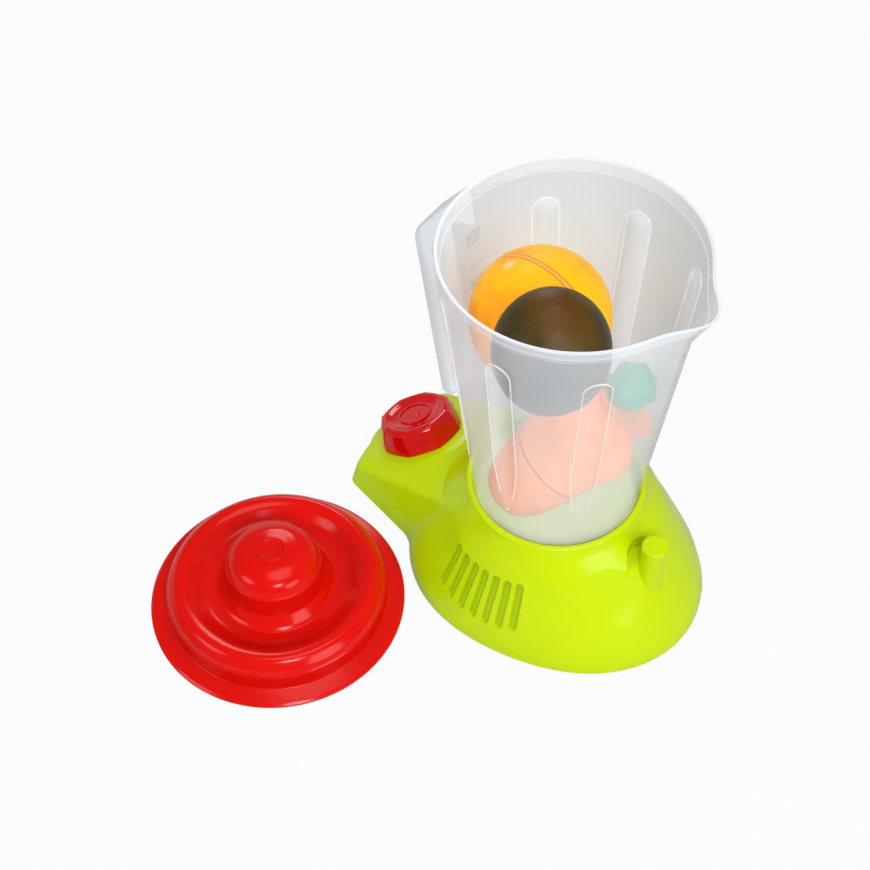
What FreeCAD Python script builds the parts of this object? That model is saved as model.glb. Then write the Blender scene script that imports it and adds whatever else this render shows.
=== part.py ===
import FreeCAD, Part
import math
import os

# Toy blender: a moulded base with a clicking knob, a lift-out jug with play food, and a lid.
# Row frame, millimetres: +Z up, origin on the table under the jug's axis,
# +Y towards the fat end of the base, the knob's panel towards -Y.

V = FreeCAD.Vector
X, Y, Z = V(1, 0, 0), V(0, 1, 0), V(0, 0, 1)

# ------------------------------------------------------------------ base housing
BASE_BACK = 79.8            # jug axis to the fat end, at the table
BASE_FRONT = 70.4           # jug axis to the narrow end of the dome, at the table
BASE_HALF_WIDTH = 66.3
BASE_EGG = 2.3              # how far the outline departs from an oval
BASE_HEIGHT = 59.4          # top of the collar
BASE_SKIRT = 3.0            # upright band at the table
SHOULDER_EASE = 0.08        # how softly the skirt turns into the slope
WALL = 2.2
COLLAR_WALL = 3.2
COLLAR_ROUND = 1.7
COLLAR_FLARE = 0.6          # chamfer at the socket's mouth

SOCKET_DEPTH = 12.0
SOCKET_CLEARANCE = 0.5

POD_CORNER_Y = 104.2        # front corners of the knob's pod, at the table
POD_CORNER_X = 36.3
POD_NOSE_Y = 113.0          # middle of its bowed front, at the table
POD_SPREAD = 7.7            # sides open towards the dome, degrees
POD_DRAFT = 13.0            # walls lean in, degrees
POD_ROUND = 6.0
POD_EDGE = 6.0
POD_JOIN = 16.0             # hollow flare of its sides into the dome
POD_BITE = 0.15             # how deep the flare runs into the dome
POD_TALL = 48.0             # its walls are drawn this high, then cut by the panel
PANEL_TILT = 24.0           # knob's panel, degrees from level
PANEL_Y = -87.3             # where the knob's axis leaves the panel
PANEL_Z = 19.5

PLATEAU_RADIUS = 29.0       # raised seat under the knob
PLATEAU_TOP_RADIUS = 25.0
PLATEAU_RISE = 1.0

POST_Y = 58.9
POST_RADIUS = 6.1
POST_TOP = 59.0
POST_ROUND = 1.0
POCKET_RADIUS = 12.2
POCKET_FLOOR = 44.5

VENT_COUNT = 7
VENT_CENTRE = 2.5           # bearing of the middle slot from +X
VENT_PITCH = 6.6
VENT_WIDTH = 3.0
VENT_DEPTH = 1.5
VENT_LIP = 0.5
VENT_LOW = 13.8
VENT_LENGTH = 25.2
VENT_LIFT = 0.34            # rise of the outer slots, mm per step squared

# ------------------------------------------------------------------ bottom cover and screws
COVER_THICKNESS = 2.2
COVER_GAP = 0.3
REAR_BOSS = (38.0, 40.0)
FRONT_BOSS = (26.0, -92.0)
BOSS_RADIUS = 4.2
SCREW_RADIUS = 1.5
SCREW_FIT = 0.05
SCREW_LENGTH = 9.0
SCREW_HEAD_RADIUS = 2.8
SCREW_HEAD_HEIGHT = 1.5
SCREW_SINK = 0.3
CROSS_WIDTH = 0.8
CROSS_LENGTH = 3.2
CROSS_DEPTH = 0.8

# ------------------------------------------------------------------ knob and click mechanism
KNOB_RADIUS = 21.5          # over the corners, at the skirt
KNOB_TOP_RADIUS = 18.6      # over the corners, at the top
KNOB_BULGE = 0.8            # how far each face bows out of flat
KNOB_HEIGHT = 12.4
KNOB_SIDES = 8
KNOB_TURN = 28.0            # bearing of the first corner
KNOB_WALL = 1.8
KNOB_GAP = 0.3              # skirt to its seat
KNOB_ROUND = 3.0
NUB_RADIUS = 0.75
NUB_LENGTH = 5.0
DISH_RADIUS = 14.6
DISH_FLOOR_RADIUS = 12.6
DISH_DEPTH = 1.0
RING_RADIUS = 8.7
RING_WIDTH = 1.0
RING_RISE = 0.7
BUTTON_RADIUS = 3.0
HUB_RADIUS = 5.4

SHAFT_RADIUS = 3.0
SHAFT_FLAT = 2.2            # axis to the driving flat
SHAFT_FIT = 0.05
SHAFT_RISE = 9.0            # up inside the knob's hub
BEARING_RADIUS = 6.0
BEARING_DROP = 9.0          # below the panel
SIDE_PLAY = 0.2
WHEEL_RADIUS = 9.0
WHEEL_NOTCHES = 12
NOTCH_RADIUS = 1.5
NOTCH_SETBACK = 0.6
WHEEL_THICKNESS = 3.0
WASHER_RADIUS = 5.0
WASHER_THICKNESS = 0.8
SPRING_THICKNESS = 0.5
SPRING_REACH = 9.0          # past the nub, each way
SPRING_FOOT = 6.4
SPRING_NUB_PLAY = 0.2
CLICK_SCREW_LENGTH = 6.0

# ------------------------------------------------------------------ jug
JUG_FOOT_RADIUS = 37.9
JUG_MOUTH_RADIUS = 57.0
JUG_HEIGHT = 161.2
JUG_WALL = 2.0
JUG_FLOOR = 2.0
JUG_FOOT_ROUND = 3.0
JUG_TURN = 6.5              # how far the jug is turned in its socket, degrees
RIM_BAND = 6.3              # depth of the lid's step inside the mouth
RIM_WALL = 1.5
SPOUT_REACH = 9.7
SPOUT_HALF_WIDTH = 13.0
SPOUT_DROP = 36.0
SPOUT_CURL = 1.8

FLUTE_ANGLES = (45.0, 90.0, 135.0)
FLUTE_FOOT = 30.6           # above the jug's foot
FLUTE_LENGTH = 109.0
FLUTE_RADIUS = 10.5
FLUTE_DEPTH = 2.2
FLUTE_TAPER = 35.0

HANDLE_WIDTH = 18.0
HANDLE_WALL = 2.0
HANDLE_DEPTH = 7.2
HANDLE_ROOT_DROP = 2.6      # below the mouth
HANDLE_TOP_RISE = 25.0      # shoulder to root, along Z
HANDLE_REACH = 18.0         # grip's shoulder beyond the mouth
HANDLE_SHOULDER = 15.5      # shoulder's rounding
HANDLE_ARM_RISE = 4.0       # underside of the arm, from the grip to the jug
HANDLE_TIP_UP = 40.6        # tip above the jug's foot
HANDLE_TIP_OUT = 17.6       # tip beyond the jug's wall
HANDLE_TIP_ROUND = 3.2
HANDLE_EDGE = 1.2

# ------------------------------------------------------------------ lid, lying rim down beside the base
LID_X = 111.9
LID_Y = -79.7
LID_RADIUS = 61.8
LID_WALL = 1.8
LID_LIP = 2.2
LID_STEP_RADIUS = 53.2
LID_SIDE_HEIGHT = 16.4
LID_CREST_RADIUS = 47.6
LID_CREST = 20.2
LID_TROUGH_RADIUS = 32.4
LID_TROUGH = 13.8
LID_HUB_RADIUS = 25.6
LID_HUB_STEP = 16.4
LID_HUB_NECK = 22.0
LID_HUB_SHOULDER = 31.6
LID_TOP = 41.6
LID_CROWN_RADIUS = 13.6
LID_CROWN_FALL = 2.4
LID_RING_RADIUS = 6.8
LID_RING_WIDTH = 0.9
LID_RING_RISE = 0.4
LID_RIM_CLEARANCE = 0.5

# ------------------------------------------------------------------ play food in the jug
FOOD_WALL = 1.6
ORANGE_RADIUS = 31.3
ORANGE_AT = V(-1.8, -16.8, 155.6)
FOOD_GAP = 0.3

AVOCADO_LEAN = V(0.66, 0.60, 0.44)
AVOCADO_SIDE = V(-1.1, 3.4, -2.9)   # along its flat face, from where it touches the orange
AVOCADO_LONG = 28.5
AVOCADO_WIDE = 25.4
AVOCADO_DEEP = 21.5
AVOCADO_FLESH = 1.4
STONE_RADIUS = 9.0

CARROT_FOOT = V(15.2, -5.2, 68.4)
CARROT_TOP = V(-12.6, 15.4, 103.4)
CARROT_TIP_RADIUS = 18.6
CARROT_BODY_RADIUS = 22.6
CARROT_NECK_RADIUS = 19.4
CARROT_CUT = 0.30           # share of the length below the seam
LEAF_AT = V(-20.6, 22.2, 124.0)
LEAF_RADIUS = 11.8
LEAF_LOBE = 3.8
STALK_RADIUS = 3.0

TINY = 0.01


# ------------------------------------------------------------------ small tools
def rad(degrees):
    return math.radians(degrees)


def polar(radius, bearing, z=0.0):
    return V(radius * math.cos(rad(bearing)), radius * math.sin(rad(bearing)), z)


def lines(points):
    return Part.makePolygon(list(points) + [points[0]])


def prism(wire, vector):
    return Part.Face(wire).extrude(vector)


def cylinder(radius, low, high, x=0.0, y=0.0):
    return Part.makeCylinder(radius, high - low, V(x, y, low))


def box(low, high):
    return Part.makeBox(high.x - low.x, high.y - low.y, high.z - low.z, low)


def turned(profile):
    """Solid of revolution about Z."""
    solid = Part.Face(profile).revolve(V(0, 0, 0), Z, 360)
    if solid.Volume < 0:
        solid.reverse()
    return solid


def closed_curve(points):
    curve = Part.BSplineCurve()
    curve.interpolate(points, PeriodicFlag=True)
    return Part.Wire(curve.toShape())


def rounded_path(corners):
    """Wire through (x, y, radius) corners in the XZ plane, each corner an arc."""
    edges = []
    count = len(corners)
    ends = []
    for i in range(count):
        x, z, r = corners[i]
        p = V(x, 0, z)
        a = V(corners[i - 1][0], 0, corners[i - 1][1]) - p
        b = V(corners[(i + 1) % count][0], 0, corners[(i + 1) % count][1]) - p
        a.normalize()
        b.normalize()
        if r <= 0 or a.cross(b).Length < 1e-6:
            ends.append((p, p, None))
            continue
        half = a.getAngle(b) / 2
        run = r / math.tan(half)
        mid = a + b
        mid.normalize()
        centre = p + mid * (r / math.sin(half))
        ends.append((p + a * run, p + b * run, centre - mid * r))
    for i in range(count):
        start, stop, middle = ends[i]
        if middle is not None:
            edges.append(Part.Arc(start, middle, stop).toShape())
        after = ends[(i + 1) % count][0]
        if (after - stop).Length > 1e-7:
            edges.append(Part.LineSegment(stop, after).toShape())
    return Part.Wire(edges)


def offset_line(corners, distance):
    """Corners of a line that runs at a distance to the right of an open (x, z, radius) line."""
    moved = []
    for i, (x, z, r) in enumerate(corners):
        before = corners[max(i - 1, 0)]
        after = corners[min(i + 1, len(corners) - 1)]
        normals = []
        for start, stop in ((before, (x, z)), ((x, z), after)):
            dx, dz = stop[0] - start[0], stop[1] - start[1]
            length = math.hypot(dx, dz)
            if length > 1e-9:
                normals.append((dz / length, -dx / length))
        nx = sum(n[0] for n in normals)
        nz = sum(n[1] for n in normals)
        scale = len(normals) / (nx * nx + nz * nz) * distance
        turn = 0.0
        if len(normals) == 2:
            turn = normals[0][0] * normals[1][1] - normals[0][1] * normals[1][0]
        radius = r + distance if turn > 0 else r - distance
        moved.append((x + nx * scale, z + nz * scale, max(radius, 0.15) if r > 0 else 0))
    return moved


def screw(radius, length, head_radius, head_height):
    """Pan-head screw along +Z: the head's seat at z = 0, the head below it."""
    body = cylinder(radius, 0, length - radius)
    body = body.fuse(Part.makeCone(radius, 0.3, radius, V(0, 0, length - radius)))
    head = cylinder(head_radius, -head_height, 0)
    head = head.makeFillet(head_height * 0.4, [e for e in head.Edges if e.CenterOfMass.z < -head_height + TINY])
    cross = box(V(-CROSS_LENGTH / 2, -CROSS_WIDTH / 2, -head_height - 1),
                V(CROSS_LENGTH / 2, CROSS_WIDTH / 2, -head_height + CROSS_DEPTH))
    other = box(V(-CROSS_WIDTH / 2, -CROSS_LENGTH / 2, -head_height - 1),
                V(CROSS_WIDTH / 2, CROSS_LENGTH / 2, -head_height + CROSS_DEPTH))
    return body.fuse(head).cut([cross, other]).removeSplitter()


def save(name, shape):
    if not shape.isValid():
        print(name, "is not valid")
    solids = shape.Solids
    if len(solids) != 1:
        print(name, "has", len(solids), "solids", [round(s.Volume, 2) for s in solids])
    solids[0].exportStep("parts/" + name + ".step") if len(solids) == 1 else shape.exportStep("parts/" + name + ".step")
    print(name, round(shape.Volume / 1000, 3), "cm3")


# ------------------------------------------------------------------ derived places
SOCKET_FLOOR = BASE_HEIGHT - SOCKET_DEPTH
JUG_SLOPE = (JUG_MOUTH_RADIUS - JUG_FOOT_RADIUS) / JUG_HEIGHT
SOCKET_RADIUS = JUG_FOOT_RADIUS + JUG_SLOPE * SOCKET_DEPTH + SOCKET_CLEARANCE
COLLAR_RADIUS = SOCKET_RADIUS + COLLAR_WALL
JUG_FOOT = SOCKET_FLOOR
JUG_TOP = JUG_FOOT + JUG_HEIGHT
SPOUT_BEARING = 90.0 + JUG_TURN
PANEL_SLOPE = math.tan(rad(PANEL_TILT))
KNOB_FRAME = FreeCAD.Placement(V(0, PANEL_Y, PANEL_Z), FreeCAD.Rotation(X, PANEL_TILT))
KNOB_FOOT = PLATEAU_RISE + KNOB_GAP


def on_panel(shape):
    """Moves a shape drawn about +Z into the knob's tilted frame."""
    moved = shape.copy()
    moved.Placement = KNOB_FRAME.multiply(moved.Placement)
    return moved


# ------------------------------------------------------------------ base housing
def outline_radius(bearing):
    """Egg outline of the dome at the table, bearing from +X."""
    t = rad(bearing - 90.0)
    mean = (BASE_BACK + BASE_FRONT) / 2
    c0 = (mean + BASE_HALF_WIDTH) / 2
    c2 = (mean - BASE_HALF_WIDTH) / 2
    c1 = (BASE_BACK - BASE_FRONT) / 2 - BASE_EGG
    return c0 + c1 * math.cos(t) + c2 * math.cos(2 * t) + BASE_EGG * math.cos(3 * t)


def slope_share(height_share):
    """How far the wall has come in from the outline to the collar, 0 to 1."""
    full = math.hypot(1.0, SHOULDER_EASE) - SHOULDER_EASE
    return (math.hypot(height_share, SHOULDER_EASE) - SHOULDER_EASE) / full


def dome_section(z, inset):
    share = slope_share(max(z - BASE_SKIRT, 0) / (BASE_HEIGHT - BASE_SKIRT))
    points = []
    for i in range(36):
        bearing = i * 10.0
        wide = outline_radius(bearing)
        points.append(polar(wide + (COLLAR_RADIUS - wide) * share - inset, bearing, z))
    return closed_curve(points)


def dome(inset=0.0, low=0.0, high=BASE_HEIGHT):
    band = prism(dome_section(BASE_SKIRT, inset), V(0, 0, low - BASE_SKIRT))
    rise = high - BASE_SKIRT
    heights = [BASE_SKIRT + rise * s for s in (0.0, 0.05, 0.12, 0.22, 0.38, 0.58, 0.8, 1.0)]
    slope = Part.makeLoft([dome_section(z, inset) for z in heights], True)
    return band.fuse(slope)


def flare(z, inset):
    """Ends and middle of the hollow arc from the pod's side to the dome, and its heel inside."""
    spread = rad(POD_SPREAD)
    reach = POD_JOIN + inset
    outward = V(math.cos(spread), -math.sin(spread), 0)
    share = slope_share(max(z - BASE_SKIRT, 0) / (BASE_HEIGHT - BASE_SKIRT))

    def centre(y):
        return V(pod_side(y, z, inset) + reach / math.cos(spread), y, z)

    def gap(y):
        c = centre(y)
        wide = outline_radius(math.degrees(math.atan2(c.y, c.x)))
        return math.hypot(c.x, c.y) - (wide + (COLLAR_RADIUS - wide) * share - inset)

    near, far = -20.0, -110.0
    for _ in range(40):
        middle = (near + far) / 2
        if gap(middle) > reach - POD_BITE:
            far = middle
        else:
            near = middle
    c = centre(near)
    inward = V(c.x, c.y, 0)
    inward.normalize()
    between = outward + inward
    between.normalize()
    foot, tip = c - outward * reach, c - inward * reach
    return foot, c - between * reach, tip, V(tip.x * 0.8, tip.y * 0.8, z)


def pod_side(y, z, inset):
    lean = math.tan(rad(POD_DRAFT))
    return POD_CORNER_X + (y + POD_CORNER_Y) * math.tan(rad(POD_SPREAD)) - inset - z * lean


def pod_section(z, inset):
    front = -POD_NOSE_Y - 5
    foot, middle, tip, heel = flare(z, inset)
    right = [V(pod_side(front, z, inset), front, z), foot, middle, tip, heel]
    left = [V(-p.x, p.y, z) for p in right]
    edges = [Part.LineSegment(left[0], right[0]), Part.LineSegment(right[0], foot),
             Part.Arc(foot, middle, tip), Part.LineSegment(tip, heel), Part.LineSegment(heel, left[4]),
             Part.LineSegment(left[4], left[3]), Part.Arc(left[3], left[2], left[1]),
             Part.LineSegment(left[1], left[0])]
    return Part.Wire([e.toShape() for e in edges])


def pod(inset=0.0, low=0.0):
    """Wedge-shaped pod, walls drawn in by the inset, top on the knob's panel."""
    lean = math.tan(rad(POD_DRAFT))
    top = POD_TALL
    bow = POD_NOSE_Y - POD_CORNER_Y
    front_radius = (POD_CORNER_X ** 2 + bow ** 2) / (2 * bow)
    centre_y = -POD_NOSE_Y + front_radius
    front = Part.makeCone(front_radius - inset, front_radius - inset - top * lean, top, V(0, centre_y, 0))
    wedge = Part.makeLoft([pod_section(top * i / 6, inset) for i in range(7)], True)
    body = front.common(wedge)
    corners = [e for e in body.Edges
               if e.BoundBox.ZLength > top * 0.8 and e.CenterOfMass.y < -POD_CORNER_Y * 0.7]
    body = body.makeFillet(max(POD_ROUND - inset, 1.0), corners)
    if low < 0:
        foot = body.Faces[[f.BoundBox.ZMax < TINY for f in body.Faces].index(True)]
        body = body.fuse(foot.extrude(V(0, 0, low)))
    drop = inset / math.cos(rad(PANEL_TILT))
    cap = box(V(-80, -150, 0), V(80, 150, 150))
    cap.Placement = FreeCAD.Placement(V(0, PANEL_Y, PANEL_Z - drop), FreeCAD.Rotation(X, PANEL_TILT))
    return body.cut(cap)


def base_housing():
    shell_pod = pod()
    rim = [e for e in shell_pod.Edges
           if e.CenterOfMass.z > 6 and e.BoundBox.ZLength < 45
           and abs((e.CenterOfMass.z - PANEL_Z) - (e.CenterOfMass.y - PANEL_Y) * PANEL_SLOPE) < 0.6
           and e.CenterOfMass.y < -45]
    shell_pod = shell_pod.makeFillet(POD_EDGE, rim)
    shell_dome = dome()
    lip = [e for e in shell_dome.Edges if e.BoundBox.ZMin > BASE_HEIGHT - TINY]
    shell_dome = shell_dome.makeFillet(COLLAR_ROUND, lip)
    outer = shell_dome.fuse(shell_pod)

    plan_wall = WALL * 1.1
    cavity = dome(plan_wall, -1.0, BASE_HEIGHT).fuse(pod(plan_wall, -1.0))
    skin = outer.cut(cavity)

    cup = cylinder(SOCKET_RADIUS + WALL, SOCKET_FLOOR - WALL, BASE_HEIGHT)
    inside = [cup, cylinder(POCKET_RADIUS + WALL, POCKET_FLOOR - WALL, BASE_HEIGHT, 0, POST_Y)]
    for x, y in boss_places():
        inside.append(cylinder(BOSS_RADIUS, COVER_THICKNESS, BASE_HEIGHT, x, y))
    inside.append(on_panel(cylinder(BEARING_RADIUS, -BEARING_DROP, -WALL / 2)))
    inside.append(on_panel(click_boss()))
    collar = inside[0].fuse(inside[1:]).common(outer)

    plateau = Part.makeCone(PLATEAU_RADIUS, PLATEAU_TOP_RADIUS, PLATEAU_RISE + 0.4, V(0, 0, -0.4))
    plateau = on_panel(plateau)
    plateau = plateau.cut(box(V(-60, -44, -10), V(60, 60, 90)))
    body = skin.fuse([collar, plateau])

    pocket = cylinder(POCKET_RADIUS, POCKET_FLOOR, BASE_HEIGHT + 5, 0, POST_Y)
    socket = cylinder(SOCKET_RADIUS, SOCKET_FLOOR, BASE_HEIGHT + 5)
    mouth = Part.makeCone(SOCKET_RADIUS, SOCKET_RADIUS + COLLAR_FLARE, COLLAR_FLARE,
                          V(0, 0, BASE_HEIGHT - COLLAR_FLARE))
    body = body.cut([pocket, socket.fuse(mouth)])

    post = cylinder(POST_RADIUS, BASE_SKIRT, POST_TOP, 0, POST_Y)
    post = post.makeFillet(POST_ROUND, [e for e in post.Edges if e.BoundBox.ZMin > POST_TOP - TINY])
    post = post.cut(cavity.common(cylinder(POST_RADIUS + 1, -1, BASE_SKIRT + 12, 0, POST_Y)))
    body = body.fuse(post)
    core = cylinder(POST_RADIUS - WALL, -1, POST_TOP - WALL, 0, POST_Y)
    bore = on_panel(cylinder(SHAFT_RADIUS + SHAFT_FIT, -BEARING_DROP - 5, PLATEAU_RISE + 5))
    holes = [core, bore]
    for x, y in boss_places():
        holes.append(cylinder(SCREW_RADIUS + SCREW_FIT, 0, COVER_THICKNESS + SCREW_LENGTH, x, y))
    x, y = click_screw_place()
    low = -click_boss_drop()
    holes.append(on_panel(cylinder(SCREW_RADIUS + SCREW_FIT, low - 1, low + CLICK_SCREW_LENGTH + 0.5, x, y)))
    body = body.cut(holes)
    return body.cut(vents(outer))


def boss_places():
    return [(side * x, y) for x, y in (REAR_BOSS, FRONT_BOSS) for side in (1, -1)]


def vents(outer):
    """Blind slots with a stepped lip, drawn up the slope on both sides of the dome."""
    tools = []
    for grow, depth in ((0.0, VENT_DEPTH), (VENT_LIP, VENT_LIP * 0.8)):
        inner = dome(depth * 1.15)
        slots = []
        half = VENT_WIDTH / 2 + grow
        for i in range(VENT_COUNT):
            step = i - (VENT_COUNT - 1) / 2
            bearing = VENT_CENTRE + step * VENT_PITCH
            low = VENT_LOW + VENT_LIFT * step * step
            high = low + VENT_LENGTH - VENT_LIFT * step * step * 0.6
            slot = box(V(44, -half, low + VENT_WIDTH / 2), V(90, half, high - VENT_WIDTH / 2))
            for z in (low + VENT_WIDTH / 2, high - VENT_WIDTH / 2):
                slot = slot.fuse(Part.makeCylinder(half, 46, V(44, 0, z), X))
            for side in (1, -1):
                copy = slot.copy()
                turn = bearing if side > 0 else 180.0 - bearing
                copy.rotate(V(0, 0, 0), Z, turn)
                slots.append(copy)
        band = slots[0].fuse(slots[1:])
        tools.append(band.cut(inner))
    return tools


def click_boss_drop():
    return BEARING_DROP + SIDE_PLAY + WHEEL_THICKNESS


def click_screw_place():
    x = spring_inner() + SPRING_THICKNESS + SPRING_FOOT / 2
    return x, SPRING_REACH + SPRING_FOOT / 2


def spring_inner():
    """Knob's axis to the inner face of the leaf spring."""
    return WHEEL_RADIUS + NOTCH_SETBACK + 0.9


def click_boss():
    x, y = click_screw_place()
    half = SPRING_FOOT / 2
    low = -click_boss_drop()
    return box(V(x - half + TINY, y - half, low), V(x + half, y + half, -WALL / 2))


def bottom_cover():
    gap = WALL * 1.1 + COVER_GAP
    shape = prism(dome_section(0.0, gap), V(0, 0, COVER_THICKNESS))
    front = pod(gap).common(box(V(-90, -150, 0), V(90, 0, COVER_THICKNESS)))
    lean = COVER_THICKNESS * math.tan(rad(POD_DRAFT))
    front = pod(gap + lean, -COVER_THICKNESS).common(box(V(-90, -150, -COVER_THICKNESS), V(90, 0, 0)))
    shape = shape.fuse(front.translated(V(0, 0, COVER_THICKNESS)))
    tools = []
    for x, y in boss_places():
        tools.append(cylinder(SCREW_RADIUS + 0.3, -1, COVER_THICKNESS + 1, x, y))
        tools.append(cylinder(SCREW_HEAD_RADIUS + 0.4, -1, cover_seat(), x, y))
    return shape.cut(tools).removeSplitter()


def cover_seat():
    return SCREW_HEAD_HEIGHT + SCREW_SINK


# ------------------------------------------------------------------ knob and click mechanism
def knob_ring(radius, z):
    """Closed outline with bowed faces between the corners."""
    edges = []
    step = 360.0 / KNOB_SIDES
    for i in range(KNOB_SIDES):
        a = KNOB_TURN + i * step
        flat = radius * math.cos(rad(step / 2)) + KNOB_BULGE
        edges.append(Part.Arc(polar(radius, a, z), polar(flat, a + step / 2, z),
                              polar(radius, a + step, z)).toShape())
    return Part.Wire(edges)


def knob_cap():
    outer = Part.makeLoft([knob_ring(KNOB_RADIUS, 0), knob_ring(KNOB_TOP_RADIUS, KNOB_HEIGHT)], True, True)
    top = [e for e in outer.Edges if e.BoundBox.ZMin > KNOB_HEIGHT - TINY]
    outer = outer.makeFillet(KNOB_ROUND, top)
    lean = (KNOB_RADIUS - KNOB_TOP_RADIUS) / KNOB_HEIGHT
    nubs = []
    for i in range(KNOB_SIDES):
        a = KNOB_TURN + i * 360.0 / KNOB_SIDES
        low = KNOB_HEIGHT - KNOB_ROUND - NUB_LENGTH
        foot = polar(KNOB_RADIUS - lean * low - NUB_RADIUS * 0.45, a, low)
        head = polar(KNOB_TOP_RADIUS - NUB_RADIUS * 0.45, a, KNOB_HEIGHT - KNOB_ROUND * 0.5)
        rod = Part.makeCylinder(NUB_RADIUS, (head - foot).Length, foot, head - foot)
        nubs += [rod, Part.makeSphere(NUB_RADIUS, head), Part.makeSphere(NUB_RADIUS, foot)]
    outer = outer.fuse(nubs)
    roof = KNOB_HEIGHT - DISH_DEPTH - KNOB_WALL
    shrink = KNOB_WALL / math.cos(rad(22.5))
    inner = Part.makeLoft([knob_ring(KNOB_RADIUS - shrink, 0),
                           knob_ring(KNOB_RADIUS - shrink - lean * roof, roof)], True, True)
    body = outer.cut(inner)
    dish = Part.makeCone(DISH_FLOOR_RADIUS, DISH_RADIUS, DISH_DEPTH, V(0, 0, KNOB_HEIGHT - DISH_DEPTH))
    body = body.cut(dish)
    low = KNOB_HEIGHT - DISH_DEPTH - TINY
    ring = cylinder(RING_RADIUS, low, low + RING_RISE).cut(cylinder(RING_RADIUS - RING_WIDTH, low, KNOB_HEIGHT))
    button = Part.makeCone(BUTTON_RADIUS, BUTTON_RADIUS - 0.6, RING_RISE, V(0, 0, low))
    hub = cylinder(HUB_RADIUS, 0, roof + TINY)
    body = body.fuse([ring, button, hub])
    body = body.cut(d_shaft(SHAFT_FIT, -1, SHAFT_RISE + SHAFT_FIT))
    body = body.removeSplitter()
    return on_panel(body.translated(V(0, 0, KNOB_FOOT)))


def d_shaft(grow, low, high):
    """Round rod with one flat, the way the drive's ends are shaped."""
    rod = cylinder(SHAFT_RADIUS + grow, low, high)
    return rod.cut(box(V(SHAFT_FLAT + grow, -9, low - 1), V(9, 9, high + 1)))


def wheel_top():
    return -BEARING_DROP - SIDE_PLAY


def knob_shaft():
    middle_top = KNOB_FOOT - TINY
    middle = cylinder(SHAFT_RADIUS, wheel_top(), middle_top)
    upper = d_shaft(0, middle_top - 0.5, KNOB_FOOT + SHAFT_RISE)
    lower = d_shaft(0, wheel_top() - WHEEL_THICKNESS, wheel_top() + 0.5)
    rod = middle.fuse([upper, lower])
    low = wheel_top() - WHEEL_THICKNESS
    rod = rod.cut(cylinder(SCREW_RADIUS + SCREW_FIT, low - 1, low + CLICK_SCREW_LENGTH + 0.5))
    return on_panel(rod.removeSplitter())


def click_wheel():
    top = wheel_top()
    wheel = cylinder(WHEEL_RADIUS, top - WHEEL_THICKNESS, top)
    notches = []
    for i in range(WHEEL_NOTCHES):
        at = polar(WHEEL_RADIUS + NOTCH_SETBACK, i * 360.0 / WHEEL_NOTCHES)
        notches.append(cylinder(NOTCH_RADIUS, top - WHEEL_THICKNESS - 1, top + 1, at.x, at.y))
    wheel = wheel.cut(notches)
    return on_panel(wheel.cut(d_shaft(SHAFT_FIT, top - WHEEL_THICKNESS - 1, top + 1)))


def knob_washer():
    top = wheel_top() - WHEEL_THICKNESS
    ring = cylinder(WASHER_RADIUS, top - WASHER_THICKNESS, top)
    return on_panel(ring.cut(cylinder(SCREW_RADIUS + 0.2, top - 5, top + 1)))


def knob_screw():
    seat = wheel_top() - WHEEL_THICKNESS - WASHER_THICKNESS
    body = screw(SCREW_RADIUS, CLICK_SCREW_LENGTH, SCREW_HEAD_RADIUS, SCREW_HEAD_HEIGHT)
    return on_panel(body.translated(V(0, 0, seat)))


def click_spring():
    """Leaf with a rounded nub in one notch, its foot screwed under a boss."""
    inner = spring_inner()
    outer = inner + SPRING_THICKNESS
    low = -click_boss_drop()
    reach = SPRING_REACH + SPRING_FOOT
    leaf = box(V(inner, -SPRING_REACH, low - SPRING_THICKNESS), V(outer, reach, wheel_top() - 0.2))
    foot = box(V(inner, SPRING_REACH, low - SPRING_THICKNESS), V(outer + SPRING_FOOT, reach, low))
    x, y = click_screw_place()
    foot = foot.cut(cylinder(SCREW_RADIUS + 0.15, low - 5, low + 5, x, y))
    at = WHEEL_RADIUS + NOTCH_SETBACK
    nub = cylinder(NOTCH_RADIUS - SPRING_NUB_PLAY, low + 0.2, wheel_top() - 0.3, at, 0)
    nub = nub.common(box(V(0, -5, -40), V(inner + TINY, 5, 40)))
    leaf = leaf.cut(box(V(inner - 1, -SPRING_REACH - 1, low - 3), V(outer + 1, SPRING_REACH, low)))
    return on_panel(leaf.fuse([foot, nub]).removeSplitter())


def click_spring_screw():
    x, y = click_screw_place()
    seat = -click_boss_drop() - SPRING_THICKNESS
    body = screw(SCREW_RADIUS, CLICK_SCREW_LENGTH, SCREW_HEAD_RADIUS, SCREW_HEAD_HEIGHT)
    return on_panel(body.translated(V(x, y, seat)))


# ------------------------------------------------------------------ jug
def jug_radius(z):
    return JUG_FOOT_RADIUS + JUG_SLOPE * (z - JUG_FOOT)


def jug_section(z, wall):
    """Round section that grows a spout towards the mouth."""
    rise = max(z - (JUG_TOP - SPOUT_DROP), 0) / SPOUT_DROP
    reach = SPOUT_REACH * rise ** SPOUT_CURL
    base = jug_radius(z)
    points = []
    for i in range(72):
        bearing = i * 5.0
        off = (bearing - 90.0 + 180.0) % 360.0 - 180.0
        arc = rad(off) * JUG_MOUTH_RADIUS / SPOUT_HALF_WIDTH
        points.append(polar(base - wall + reach * math.exp(-arc * arc), bearing, z))
    return closed_curve(points)


def jug_core(wall, low, high):
    split = JUG_TOP - SPOUT_DROP
    straight = Part.makeLoft([jug_section(low, wall), jug_section(split, wall)], True, True)
    shares = (0.0, 0.2, 0.4, 0.6, 0.8, 1.0)
    heights = [split + (high - split) * s for s in shares]
    flared = Part.makeLoft([jug_section(z, wall) for z in heights], True)
    return straight.fuse(flared)


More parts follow.
